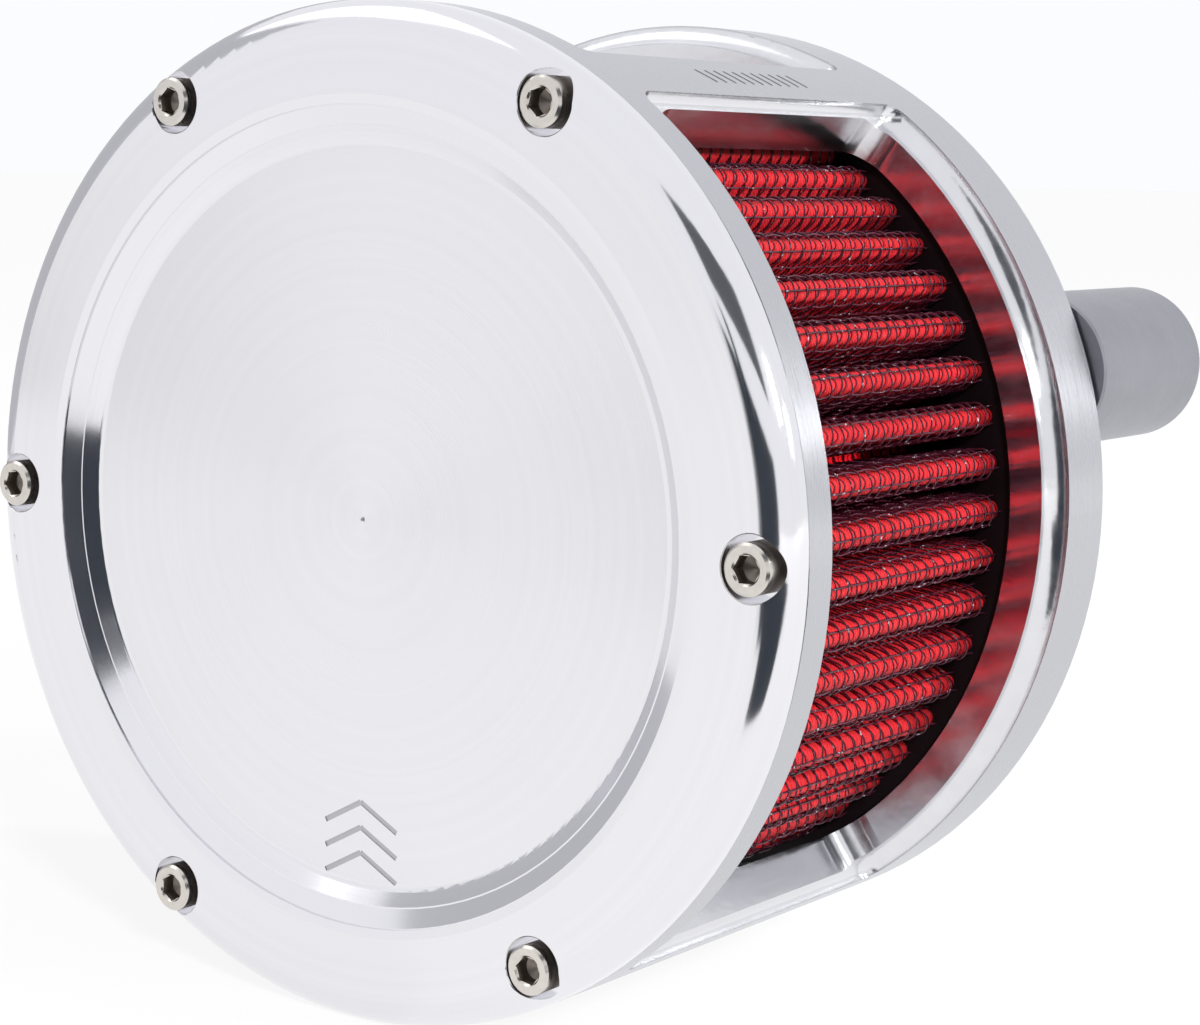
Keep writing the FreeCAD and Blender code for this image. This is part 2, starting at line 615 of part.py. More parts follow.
def pleat_edges(outward):
    """One closed zigzag round the axis, offset outwards from the innermost one."""
    tip_r = TIP_R - 2 * MESH_THICKNESS - MEDIA_THICKNESS + outward
    valley_r = VALLEY_R + 2 * MESH_THICKNESS + MEDIA_THICKNESS - outward
    half_pitch = 180.0 / PLEAT_COUNT
    tip = at(TIP_CENTRE_R, 0, 0)
    valley = at(VALLEY_CENTRE_R, half_pitch, 0)
    span = valley - tip
    lean = math.atan2(span.z, span.x) - math.acos((tip_r + valley_r) / span.Length)
    normal = FreeCAD.Vector(math.cos(lean), 0, math.sin(lean))
    flank_top = tip + normal * tip_r
    flank_foot = valley - normal * valley_r
    tip_end = at(TIP_CENTRE_R + tip_r, 0, 0)
    valley_end = at(VALLEY_CENTRE_R - valley_r, half_pitch, 0)

    def mirrored(point):
        return FreeCAD.Vector(point.x, point.y, -point.z)

    def spot(point, index):
        angle = math.degrees(math.atan2(point.z, point.x)) + 2 * half_pitch * index
        return at(math.hypot(point.x, point.z), angle, PLEAT_FRONT)

    edges = []
    for index in range(PLEAT_COUNT):
        top = spot(flank_top, index)
        foot = spot(flank_foot, index)
        next_foot = spot(mirrored(flank_foot), index + 1)
        next_top = spot(mirrored(flank_top), index + 1)
        edges.append(Part.Arc(spot(mirrored(flank_top), index), spot(tip_end, index), top).toShape())
        edges.append(Part.makeLine(top, foot))
        edges.append(Part.Arc(foot, spot(valley_end, index), next_foot).toShape())
        edges.append(Part.makeLine(next_foot, next_top))
    return edges


def pleated_layer(inside, outside):
    """One layer of the pleat pack, between two offsets."""
    outer = Part.Face(Part.Wire(pleat_edges(outside)))
    inner = Part.Face(Part.Wire(pleat_edges(inside)))
    return outer.cut(inner).extrude(FreeCAD.Vector(0, PLEAT_REAR - PLEAT_FRONT, 0))


def inner_mesh():
    """Wire mesh on the clean side of the pleats."""
    return pleated_layer(0, MESH_THICKNESS)


def pleated_media():
    """Oiled cotton folded into deep pleats."""
    return pleated_layer(MESH_THICKNESS, MESH_THICKNESS + MEDIA_THICKNESS)


def outer_mesh():
    """Wire mesh on the dirty side of the pleats."""
    inside = MESH_THICKNESS + MEDIA_THICKNESS
    return pleated_layer(inside, inside + MESH_THICKNESS)


def end_cap(start, end, rounded):
    """Moulded urethane ring that holds the ends of the pleats."""
    ring = pipe(CAP_INNER_R, CAP_OUTER_R, start, end)
    rims = []
    for edge in ring.Edges:
        round_edge = isinstance(edge.Curve, Part.Circle)
        if round_edge and abs(edge.Vertexes[0].Point.y - rounded) < 0.01:
            rims.append(edge)
    return ring.makeFillet(CAP_EDGE_R, rims)


def inner_support():
    """Perforated steel tube that the pleats rest on."""
    tube = pipe(SUPPORT_INNER_R, SUPPORT_OUTER_R, PLEAT_FRONT, PLEAT_REAR)
    row_pitch = (PLEAT_REAR - PLEAT_FRONT) / SUPPORT_HOLE_ROWS
    reach = SUPPORT_OUTER_R + OVER
    drills = []
    for row in range(SUPPORT_HOLE_ROWS):
        y = PLEAT_FRONT + row_pitch * (row + 0.5)
        stagger = 0.5 * (row % 2)
        for index in range(SUPPORT_HOLES_ROUND):
            angle = 180.0 * (index + stagger) / SUPPORT_HOLES_ROUND
            start = at(-reach, angle, y)
            drills.append(Part.makeCylinder(SUPPORT_HOLE_R, 2 * reach, start, at(1, angle, 0)))
    return tube.cut(drills)


def export(name, shape):
    """Write one part, and say its size."""
    if not shape.isValid():
        raise ValueError(name + " is not a valid shape")
    shape.exportStep("parts/" + name + ".step")
    print(name, "solids", len(shape.Solids), "volume", round(shape.Volume, 1))


os.makedirs("parts", exist_ok=True)
export("front_cover", front_cover())
export("cover_seal", cover_seal())
export("cover_screws", cover_screws())
export("filter_cage", filter_cage())
export("back_plate", back_plate())
export("velocity_stack", velocity_stack())
export("cage_screws", cage_screws())
export("throttle_screws", throttle_screws())
export("throttle_spacer", throttle_spacer())
export("throttle_seal", throttle_seal())
export("spacer_seal", spacer_seal())
for side, tube_place in TUBE_PLACES.items():
    export("breather_tube_" + side, breather_tube(tube_place))
    export("breather_screw_" + side, breather_screw(tube_place))
    export("face_seal_" + side, face_seal(tube_place))
    export("socket_seal_" + side, socket_seal(tube_place))
export("pleated_media", pleated_media())
export("outer_mesh", outer_mesh())
export("inner_mesh", inner_mesh())
export("inner_support", inner_support())
export("front_end_cap", end_cap(CAP_FRONT, PLEAT_FRONT, CAP_FRONT))
export("rear_end_cap", end_cap(PLEAT_REAR, PLATE_FRONT, PLATE_FRONT))
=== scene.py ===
import math

import bpy
import numpy as np
from mathutils import Matrix, Vector


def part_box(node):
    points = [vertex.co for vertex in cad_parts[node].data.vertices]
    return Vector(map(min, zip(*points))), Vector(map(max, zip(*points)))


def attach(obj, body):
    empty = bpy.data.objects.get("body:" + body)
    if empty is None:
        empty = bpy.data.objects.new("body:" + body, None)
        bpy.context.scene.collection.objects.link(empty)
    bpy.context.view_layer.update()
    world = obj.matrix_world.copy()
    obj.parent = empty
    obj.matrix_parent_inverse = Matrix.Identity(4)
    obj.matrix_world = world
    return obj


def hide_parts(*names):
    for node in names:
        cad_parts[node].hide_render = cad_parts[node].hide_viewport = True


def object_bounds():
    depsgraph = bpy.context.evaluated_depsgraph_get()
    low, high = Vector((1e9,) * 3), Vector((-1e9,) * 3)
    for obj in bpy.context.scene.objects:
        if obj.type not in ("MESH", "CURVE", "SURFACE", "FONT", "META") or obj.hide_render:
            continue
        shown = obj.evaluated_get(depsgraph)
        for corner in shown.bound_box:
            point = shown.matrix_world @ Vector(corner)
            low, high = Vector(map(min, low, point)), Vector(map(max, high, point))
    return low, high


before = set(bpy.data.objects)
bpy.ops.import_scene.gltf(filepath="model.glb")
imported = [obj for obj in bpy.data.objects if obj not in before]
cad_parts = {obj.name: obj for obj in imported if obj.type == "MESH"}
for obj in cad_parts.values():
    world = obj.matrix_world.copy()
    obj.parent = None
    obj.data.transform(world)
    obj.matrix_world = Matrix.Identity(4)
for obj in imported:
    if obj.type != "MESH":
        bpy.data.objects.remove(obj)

# A billet air cleaner for a motorcycle. Metres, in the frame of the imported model:
# Y runs along the filter, the cover faces -Y and Z is up.

MM = 0.001
CAD_LOW, CAD_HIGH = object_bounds()

# Sizes of the filter element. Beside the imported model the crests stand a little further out
# and the cotton is a little thinner outside, which leaves room for the wires.
PLEAT_COUNT = 54
TIP_CENTRE_R = 68.7 * MM
VALLEY_CENTRE_R = 54.2 * MM
TIP_INNER_R = 0.7 * MM         # radius of the crests' bend in the innermost layer
VALLEY_INNER_R = 2.6 * MM
MEDIA_INSIDE = 0.3 * MM
MEDIA_OUTSIDE = 1.25 * MM
THREAD_PITCH = 0.62            # of the cotton's weave, in the millimetres of its map
DEEP_R, CREST_R = 52.0 * MM, 68.0 * MM     # between these the cotton blends from a painted light, a brighter red deep in the valleys, to the crests' own colour
COTTON_PIECES = 3

# Woven wire over the cotton
WIRE_R = 0.17 * MM
WIRE_PITCH = 3.1 * MM
STAND_OFF = 0.1 * MM           # between the wires and the puffed cotton
BRIDGE = 0.2 * MM              # how far the stiff wires stand off the pleats' flanks
WIRE_LEVEL = MEDIA_OUTSIDE + 2 * WIRE_R + STAND_OFF
WIRE_COUNT_ALONG = 662         # wires that run along Y, all round the element
PILLOW_DEPTH = 0.45 * MM       # how far the wires press into the cotton
WANDER = 0.35 * MM             # how far a wire strays from its plane
STAY_EXTRA = 0.3 * MM          # how far the straight wires run into the end caps
CELL_STEPS = 4                 # of the cotton's mesh between two wires
WIRE_SIDES = 4
CREST_STEPS, FLANK_STEPS = 15, 22
INNER_PITCH = 1.5 * MM         # of the clean side's wire cloth

# Sizes that separate differently finished faces, and that set where painted shade darkens the
# screws
OUTSIDE_R = 82.35 * MM
OUTSIDE_BLEND = 0.25 * MM
SCREW_CIRCLE_R = 76.54 * MM
SCREW_COUNT = 6
SOCKET_R = 3.0 * MM
SOCKET_SHADE_FROM, SOCKET_SHADE_TO = 0.35 * MM, 1.3 * MM
SIDE_SHADE_FROM, SIDE_SHADE_TO = 1.0 * MM, 2.4 * MM
DISH_R = 59.5 * MM
DISH_DEPTH = 3.8 * MM
CUT_DEPTH = 0.15 * MM


# ---------------------------------------------------------------- fold
class Fold:
    """The zigzag line of one layer of the pleats, measured along its length."""

    def __init__(self, level):
        tip_r = TIP_INNER_R + level
        valley_r = VALLEY_INNER_R - level
        half = math.pi / PLEAT_COUNT
        tip = np.array([TIP_CENTRE_R, 0.0])
        valley = VALLEY_CENTRE_R * np.array([math.cos(half), math.sin(half)])
        span = valley - tip
        reach = math.hypot(*span)
        self.lean = math.atan2(span[1], span[0]) - math.acos((tip_r + valley_r) / reach)
        normal = np.array([math.cos(self.lean), math.sin(self.lean)])
        self.top = tip + normal * tip_r
        self.foot = valley - normal * valley_r
        self.normal = normal
        self.tip, self.valley = tip, valley
        self.tip_r, self.valley_r = tip_r, valley_r
        self.half = half
        self.arc = tip_r * self.lean
        self.flank = math.hypot(*(self.foot - self.top))
        self.bend = valley_r * (self.lean - half)
        self.length = 2 * (self.arc + self.flank + self.bend)

    def half_point(self, way):
        """Place and normal, from the crest to the bottom of the valley."""
        on_arc = np.clip(way, 0, self.arc)
        on_flank = np.clip(way - self.arc, 0, self.flank)
        on_bend = np.clip(way - self.arc - self.flank, 0, self.bend)
        turn = on_arc / self.tip_r
        round_tip = np.stack([np.cos(turn), np.sin(turn)], 1)
        share = (on_flank / self.flank)[:, None]
        back = self.lean - on_bend / self.valley_r
        round_valley = np.stack([np.cos(back), np.sin(back)], 1)
        place = self.tip + round_tip * self.tip_r
        place = np.where((way > self.arc)[:, None], self.top + (self.foot - self.top) * share,
                         place)
        deep = (way > self.arc + self.flank)[:, None]
        place = np.where(deep, self.valley - round_valley * self.valley_r, place)
        normal = np.where(deep, round_valley, round_tip)
        return place, normal

    def points(self, way):
        """Places and normals in X and Z at distances along the whole zigzag."""
        index = np.round(way / self.length)
        offset = way - index * self.length
        place, normal = self.half_point(np.abs(offset))
        side = np.where(offset < 0, -1.0, 1.0)
        turn = index * 2 * self.half
        result = []
        for vector in (place, normal):
            x, z = vector[:, 0], vector[:, 1] * side
            result.append(np.stack([x * np.cos(turn) - z * np.sin(turn),
                                    x * np.sin(turn) + z * np.cos(turn)], 1))
        return result


# ---------------------------------------------------------------- materials
class Net:
    """A material's node tree, with short calls for the nodes used here."""

    def __init__(self, name, **constants):
        self.material = bpy.data.materials.new(name)
        self.material.use_nodes = True
        self.tree = self.material.node_tree
        self.shader = self.tree.nodes["Principled BSDF"]
        for key, value in constants.items():
            self.shader.inputs[key.replace("_", " ")].default_value = value
        coordinates = self.tree.nodes.new("ShaderNodeTexCoord")
        self.place = coordinates.outputs["Object"]
        split = self.node("ShaderNodeSeparateXYZ", [self.place])
        self.x, self.y, self.z = split.outputs

    def node(self, kind, values=(), **settings):
        made = self.tree.nodes.new(kind)
        for key, value in settings.items():
            setattr(made, key, value)
        for index, value in enumerate(values):
            self.feed(made.inputs[index], value)
        return made

    def feed(self, socket, value):
        if value is None:
            return
        if isinstance(value, bpy.types.NodeSocket):
            self.tree.links.new(value, socket)
        else:
            socket.default_value = value

    def math(self, operation, *values):
        return self.node("ShaderNodeMath", values, operation=operation).outputs[0]

    def length(self, across, up):
        squares = self.math("ADD", self.math("MULTIPLY", across, across),
                            self.math("MULTIPLY", up, up))
        return self.math("SQRT", squares)

    def radius(self):
        """Distance from the filter's axis."""
        return self.length(self.x, self.z)

    def angle(self):
        return self.math("ARCTAN2", self.z, self.x)

    def line_noise(self, along, scale, detail=2.0, rough=0.5):
        """Noise that changes along one measure only, as turning marks do."""
        made = self.node("ShaderNodeTexNoise", noise_dimensions="1D")
        for key, value in (("W", along), ("Scale", scale), ("Detail", detail),
                           ("Roughness", rough)):
            self.feed(made.inputs[key], value)
        return made.outputs["Fac"]

    def noise(self, scale, detail=2.0, rough=0.5, place=None):
        made = self.node("ShaderNodeTexNoise")
        for key, value in (("Vector", place or self.place), ("Scale", scale),
                           ("Detail", detail), ("Roughness", rough)):
            self.feed(made.inputs[key], value)
        return made.outputs["Fac"]

    def stretched(self, x, y, z):
        """The place with each axis scaled, for streaks."""
        made = self.node("ShaderNodeVectorMath", [self.place, (x, y, z)], operation="MULTIPLY")
        return made.outputs[0]

    def remap(self, value, low, high, to_low, to_high, smooth=False):
        made = self.node("ShaderNodeMapRange", [value, low, high, to_low, to_high],
                         interpolation_type="SMOOTHSTEP" if smooth else "LINEAR")
        return made.outputs[0]

    def blend(self, share, first, second):
        made = self.node("ShaderNodeMix", data_type="RGBA")
        for key, value in ((0, share), (6, first), (7, second)):
            self.feed(made.inputs[key], value)
        return made.outputs[2]

    def between(self, share, first, second):
        made = self.node("ShaderNodeMix", data_type="FLOAT")
        for key, value in ((0, share), (2, first), (3, second)):
            self.feed(made.inputs[key], value)
        return made.outputs[0]

    def bump(self, height, distance, strength=1.0):
        """Adds a relief of that height to the shader's normal."""
        normal = self.shader.inputs["Normal"]
        before = normal.links[0].from_socket if normal.links else None
        made = self.node("ShaderNodeBump")
        for key, value in (("Strength", strength), ("Distance", distance),
                           ("Height", height), ("Normal", before)):
            self.feed(made.inputs[key], value)
        self.feed(normal, made.outputs[0])

    def grain_across(self):
        """Stretches highlights across marks that run round the filter's axis."""
        tangent = self.node("ShaderNodeTangent", direction_type="RADIAL", axis="Y")
        self.feed(self.shader.inputs["Tangent"], tangent.outputs[0])

    def set(self, name, value):
        self.feed(self.shader.inputs[name], value)


def rgba(red, green, blue):
    return (red, green, blue, 1.0)


def polished_cover():
    """Turned and polished, rougher on the dish's floor and dull in the engraved cuts."""
    net = Net("polished_aluminium", Metallic=1.0, Anisotropic=0.7, Anisotropic_Rotation=0.25)
    net.grain_across()
    radius = net.radius()
    floor_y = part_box("front_cover")[0].y + DISH_DEPTH
    in_dish = net.math("LESS_THAN", radius, DISH_R)
    cut = net.remap(net.y, floor_y + 0.2 * CUT_DEPTH, floor_y + 0.8 * CUT_DEPTH, 0.0, 1.0)
    cut = net.math("MULTIPLY", cut, in_dish)
    path = net.math("SUBTRACT", radius, net.y)
    fine = net.line_noise(path, 5200.0, 3.0, 0.6)
    broad = net.line_noise(path, 420.0, 4.0, 0.65)
    smear = net.noise(34.0, 4.0, 0.6)
    dish = net.remap(net.y, floor_y - 0.6 * CUT_DEPTH, floor_y - 0.2 * CUT_DEPTH, 0.0, 1.0)
    dish = net.math("MULTIPLY", dish, in_dish)
    metal = net.blend(broad, rgba(0.79, 0.785, 0.815), rgba(0.83, 0.825, 0.855))
    net.set("Base Color", net.blend(cut, metal, rgba(0.50, 0.50, 0.53)))
    rough = net.math("ADD", net.remap(fine, 0.3, 0.7, 0.085, 0.135),
                     net.remap(smear, 0.4, 0.75, 0.0, 0.035))
    rough = net.math("ADD", rough, net.math("MULTIPLY", dish, 0.12))
    net.set("Roughness", net.math("ADD", rough, net.math("MULTIPLY", cut, 0.15)))
    net.bump(fine, 0.0009 * MM)
    net.bump(broad, 0.002 * MM)
    return net.material


def machined_cage():
    """Brushed round the outside, and bright tool marks in the windows and coves."""
    net = Net("machined_aluminium", Metallic=1.0, Anisotropic=0.85, Anisotropic_Rotation=0.25)
    net.grain_across()
    radius = net.radius()
    outside = net.remap(radius, OUTSIDE_R - OUTSIDE_BLEND, OUTSIDE_R, 0.0, 1.0)
    brush = net.noise(1.0, 4.0, 0.7, net.stretched(55.0, 4200.0, 55.0))
    fine = net.line_noise(net.y, 3800.0, 3.0, 0.7)
    chatter = net.noise(1.0, 2.0, 0.4, net.stretched(420.0, 300.0, 420.0))
    streak = net.noise(1.0, 3.0, 0.6, net.stretched(160.0, 40.0, 160.0))
    worn = net.noise(45.0, 4.0, 0.6)
    satin = net.blend(brush, rgba(0.52, 0.525, 0.555), rgba(0.62, 0.625, 0.655))
    bright = net.blend(streak, rgba(0.68, 0.68, 0.71), rgba(0.80, 0.80, 0.82))
    net.set("Base Color", net.blend(outside, bright, satin))
    satin_rough = net.remap(brush, 0.3, 0.7, 0.24, 0.34)
    bright_rough = net.math("ADD", net.remap(streak, 0.3, 0.7, 0.12, 0.21),
                            net.remap(worn, 0.5, 0.8, 0.0, 0.06))
    net.set("Roughness", net.between(outside, bright_rough, satin_rough))
    net.bump(net.math("MULTIPLY", brush, outside), 0.006 * MM)
    net.bump(net.math("MULTIPLY", fine, outside), 0.002 * MM)
    inside = net.math("SUBTRACT", 1.0, outside)
    net.bump(net.math("MULTIPLY", chatter, inside), 0.03 * MM)
    return net.material


def turned_aluminium(name, low, high):
    """Plain lathe finish round an axis along Y, with a roughness from low to high."""
    net = Net(name, Metallic=1.0, Anisotropic=0.6, Anisotropic_Rotation=0.25)
    net.grain_across()
    path = net.math("SUBTRACT", net.radius(), net.y)
    fine = net.line_noise(path, 3600.0, 3.0, 0.6)
    feed = net.math("SINE", net.math("MULTIPLY", path, 9000.0))
    cloud = net.noise(60.0, 4.0, 0.6)
    net.set("Base Color", net.blend(cloud, rgba(0.70, 0.71, 0.735), rgba(0.80, 0.805, 0.82)))
    net.set("Roughness", net.remap(fine, 0.3, 0.7, low, high))
    net.bump(fine, 0.004 * MM)
    net.bump(feed, 0.0012 * MM)
    return net.material


def blasted_tube():
    """Bead-blasted and anodised, with fine pits and faint rub marks."""
    net = Net("satin_aluminium", Metallic=1.0)
    pits = net.noise(5200.0, 3.0, 0.6)
    cloud = net.noise(90.0, 4.0, 0.6)
    rub = net.noise(1.0, 3.0, 0.6, net.stretched(220.0, 900.0, 220.0))
    net.set("Base Color", net.blend(cloud, rgba(0.29, 0.295, 0.325), rgba(0.37, 0.375, 0.41)))
    net.set("Roughness", net.math("ADD", net.remap(pits, 0.3, 0.7, 0.34, 0.46),
                                  net.remap(rub, 0.5, 0.8, 0.0, -0.08)))
    net.bump(pits, 0.012 * MM)
    return net.material


def screw_steel():
    """Bright turned heads, with painted shade that darkens them down in the sockets and the
    recesses.
    """
    net = Net("stainless_screws", Metallic=1.0)
    depth = net.math("SUBTRACT", net.y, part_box("cover_screws")[0].y)
    sixth = 2 * math.pi / SCREW_COUNT
    angle = net.angle()
    nearest = net.math("ROUND", net.math("DIVIDE", angle, sixth))
    turn = net.math("SUBTRACT", angle, net.math("MULTIPLY", nearest, sixth))
    radius = net.radius()
    across = net.math("SUBTRACT", net.math("MULTIPLY", radius, net.math("COSINE", turn)),
                      SCREW_CIRCLE_R)
    aside = net.math("MULTIPLY", radius, net.math("SINE", turn))
    local = net.length(across, aside)
    rings = net.line_noise(local, 5200.0, 2.0, 0.6)
    cloud = net.noise(700.0, 3.0, 0.6)
    # Painted shade: the screws darken down in each socket and further back along their sides,
    # inside the recesses
    socket = net.remap(depth, SOCKET_SHADE_FROM, SOCKET_SHADE_TO, 0.0, 1.0)
    socket = net.math("MULTIPLY", socket, net.math("LESS_THAN", local, SOCKET_R))
    side = net.remap(depth, SIDE_SHADE_FROM, SIDE_SHADE_TO, 0.0, 1.0)
    dark = net.math("MAXIMUM", socket, side)
    bright = net.blend(cloud, rgba(0.60, 0.565, 0.52), rgba(0.74, 0.70, 0.65))
    net.set("Base Color", net.blend(dark, bright, rgba(0.28, 0.245, 0.215)))
    net.set("Roughness", net.math("ADD", net.remap(rings, 0.3, 0.7, 0.16, 0.26),
                                  net.math("MULTIPLY", dark, 0.2)))
    net.bump(rings, 0.004 * MM)
    return net.material


def plain_steel():
    """Zinc-plated steel with a faint spangle."""
    net = Net("zinc_steel", Metallic=1.0)
    cells = net.node("ShaderNodeTexVoronoi", [net.place], feature="F1")
    net.feed(cells.inputs["Scale"], 420.0)
    cloud = net.noise(240.0, 4.0, 0.6)
    spangle = net.node("ShaderNodeSeparateColor", [cells.outputs["Color"]]).outputs[0]
    net.set("Base Color", net.blend(spangle, rgba(0.50, 0.51, 0.53), rgba(0.66, 0.665, 0.67)))
    net.set("Roughness", net.remap(cloud, 0.3, 0.7, 0.26, 0.42))
    net.bump(cloud, 0.01 * MM)
    return net.material


def black_rubber():
    """Moulded rubber with a light bloom."""
    net = Net("black_rubber", Specular_IOR_Level=0.4)
    grain = net.noise(2600.0, 4.0, 0.65)
    bloom = net.noise(130.0, 3.0, 0.6)
    net.set("Base Color", net.blend(bloom, rgba(0.012, 0.012, 0.013), rgba(0.03, 0.03, 0.031)))
    net.set("Roughness", net.remap(bloom, 0.3, 0.7, 0.42, 0.62))
    net.bump(grain, 0.02 * MM)
    return net.material


def black_urethane():
    """Cast end caps, nearly black and slightly swirled."""
    net = Net("black_urethane", Specular_IOR_Level=0.15)
    grain = net.noise(900.0, 5.0, 0.6)
    swirl = net.noise(70.0, 4.0, 0.6)
    net.set("Base Color", net.blend(swirl, rgba(0.002, 0.001, 0.001), rgba(0.005, 0.003, 0.004)))
    net.set("Roughness", net.remap(grain, 0.3, 0.7, 0.38, 0.55))
    net.bump(grain, 0.05 * MM)
    return net.material


def red_cotton():
    """Oiled cotton gauze, with the wires' shadows painted on as dark lines between each two
    wires.

    The map called weave holds millimetres round the fold and along Y.
    """
    net = Net("red_cotton", Specular_IOR_Level=0.3, Specular_Tint=rgba(1.0, 0.45, 0.45))
    flat = net.node("ShaderNodeUVMap", uv_map="weave").outputs[0]
    u, v, _ = net.node("ShaderNodeSeparateXYZ", [flat]).outputs
    thread = 2 * math.pi / THREAD_PITCH
    warp = net.math("SINE", net.math("MULTIPLY", u, thread))
    weft = net.math("SINE", net.math("MULTIPLY", v, thread))
    weave = net.math("MULTIPLY", warp, weft)
    # Painted shadow: dark lines where the wires' shadows would fall, set further off the wires
    # away from the crests
    off_crest = net.math("PINGPONG", u, Fold(MEDIA_OUTSIDE).length / 2 / MM)
    shift = net.remap(off_crest, 0.0, 3.2, -0.72, -0.3, smooth=True)
    phase = net.math("ADD", net.math("DIVIDE", v, WIRE_PITCH / MM), shift)
    off_wire_shadow = net.math("PINGPONG", phase, 0.5)
    painted_wire_shadow = net.remap(off_wire_shadow, 0.05, 0.14, 1.0, 0.0, smooth=True)
    lint = net.noise(0.9, 5.0, 0.7, flat)
    blotch = net.noise(0.16, 4.0, 0.6, flat)
    # Painted light: a brighter red deep in the valleys stands in for light reaching down the
    # flanks
    depth = net.remap(net.radius(), DEEP_R, CREST_R, 0.0, 1.0, smooth=True)
    tip = net.blend(blotch, rgba(0.27, 0.007, 0.011), rgba(0.37, 0.018, 0.022))
    tip = net.blend(net.remap(weave, -1.0, 1.0, 0.0, 0.35), tip, rgba(0.12, 0.002, 0.004))
    tip = net.blend(net.remap(lint, 0.55, 0.8, 0.0, 0.5), tip, rgba(0.42, 0.05, 0.05))
    cloth = net.blend(depth, rgba(0.44, 0.006, 0.011), tip)
    # The painted shadow lines take the cloth nearly to black
    net.set("Base Color", net.blend(painted_wire_shadow, cloth, rgba(0.022, 0.0005, 0.002)))
    net.set("Roughness", net.remap(lint, 0.3, 0.7, 0.42, 0.62))
    net.bump(weave, 0.035 * MM)
    net.bump(lint, 0.06 * MM)
    # The same painted shadow lines are also pressed in as shallow grooves
    net.bump(net.math("SUBTRACT", 1.0, painted_wire_shadow), 0.12 * MM)
    return net.material


def dark_wire():
    """Coated wire, rubbed bright in spots."""
    net = Net("dark_wire", Specular_IOR_Level=0.25, Coat_Weight=0.15, Coat_Roughness=0.08)
    rub = net.noise(900.0, 3.0, 0.7)
    nick = net.noise(2600.0, 2.0, 0.5)
    coat = net.blend(nick, rgba(0.018, 0.002, 0.006), rgba(0.042, 0.009, 0.017))
    net.set("Base Color", net.blend(net.remap(rub, 0.62, 0.74, 0.0, 0.7), coat,
                                    rgba(0.42, 0.42, 0.46)))
    net.set("Roughness", net.remap(nick, 0.3, 0.7, 0.2, 0.36))
    net.bump(nick, 0.01 * MM)
    return net.material


def inner_weave():
    """The clean side's wire cloth, whose weave is painted on its thin sheet."""
    net = Net("inner_wire", Metallic=0.6)
    pitch = 2 * math.pi / INNER_PITCH
    along = net.math("SINE", net.math("MULTIPLY", net.y, pitch))
    round_it = net.math("SINE", net.math("MULTIPLY", net.radius(), pitch))
    weave = net.math("MAXIMUM", along, round_it)
    wire = net.remap(weave, 0.55, 0.9, 0.0, 1.0, smooth=True)
    speck = net.noise(800.0, 3.0, 0.6)
    metal = net.blend(speck, rgba(0.28, 0.28, 0.30), rgba(0.45, 0.45, 0.47))
    net.set("Base Color", net.blend(wire, rgba(0.20, 0.006, 0.014), metal))
    net.set("Roughness", net.remap(speck, 0.3, 0.7, 0.3, 0.45))
    net.bump(wire, 0.12 * MM)
    return net.material


def put(material, *nodes):
    """Gives CAD nodes a material, and leaves their shape alone."""
    for name in nodes:
        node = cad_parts[name]
        if not node.material_slots:
            node.data.materials.append(material)
        for each in node.material_slots:
            each.material = material


put(polished_cover(), "front_cover")
put(machined_cage(), "filter_cage")
put(turned_aluminium("turned_plate", 0.2, 0.32), "back_plate", "throttle_spacer")
put(turned_aluminium("turned_stack", 0.1, 0.2), "velocity_stack")
put(blasted_tube(), "breather_tube_right", "breather_tube_left")
put(screw_steel(), "cover_screws")
put(plain_steel(), "cage_screws", "throttle_screws", "breather_screw_right",
    "breather_screw_left", "inner_support")
put(black_rubber(), "cover_seal", "throttle_seal", "spacer_seal", "face_seal_right",
    "face_seal_left", "socket_seal_right", "socket_seal_left")
put(black_urethane(), "front_end_cap", "rear_end_cap")
put(inner_weave(), "inner_mesh")


# ---------------------------------------------------------------- pleats
def build(name, points, faces, material, body, node, flat=None):
    """A smooth mesh piece that stands for a CAD node."""
    mesh = bpy.data.meshes.new(name)
    mesh.from_pydata(points.tolist(), [], faces)
    mesh.shade_smooth()
    if flat is not None:
        layer = mesh.uv_layers.new(name="weave")
        corners = np.zeros(len(mesh.loops), np.int32)
        mesh.loops.foreach_get("vertex_index", corners)
        layer.data.foreach_set("uv", flat[corners].astype(np.float32).ravel())
    mesh.materials.append(material)
    piece = bpy.data.objects.new(name, mesh)
    bpy.context.scene.collection.objects.link(piece)
    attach(piece, body)
    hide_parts(node)
    return piece


def grid_faces(rows, columns, start=0, flip=False):
    """Quads between neighbours in a grid of points, row by row."""
    corner = start + np.arange((rows - 1) * columns).reshape(rows - 1, columns)[:, :-1]
    quads = np.stack([corner, corner + 1, corner + columns + 1, corner + columns], -1)
    quads = quads.reshape(-1, 4)
    return (quads[:, ::-1] if flip else quads).tolist()


PLEAT_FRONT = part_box("pleated_media")[0].y
PLEAT_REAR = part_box("pleated_media")[1].y
RANDOM = np.random.default_rng(7)
STRAY = RANDOM.uniform(-WANDER, WANDER, 2 * PLEAT_COUNT)


def stray(way, length):
    """How far the folded cloth has slipped along Y, at crests and valleys in turn."""
    spot = way / length * 2
    low = np.floor(spot).astype(int)
    share = spot - low
    share = share * share * (3 - 2 * share)
    first = STRAY[low % len(STRAY)]
    second = STRAY[(low + 1) % len(STRAY)]
    return first + (second - first) * share


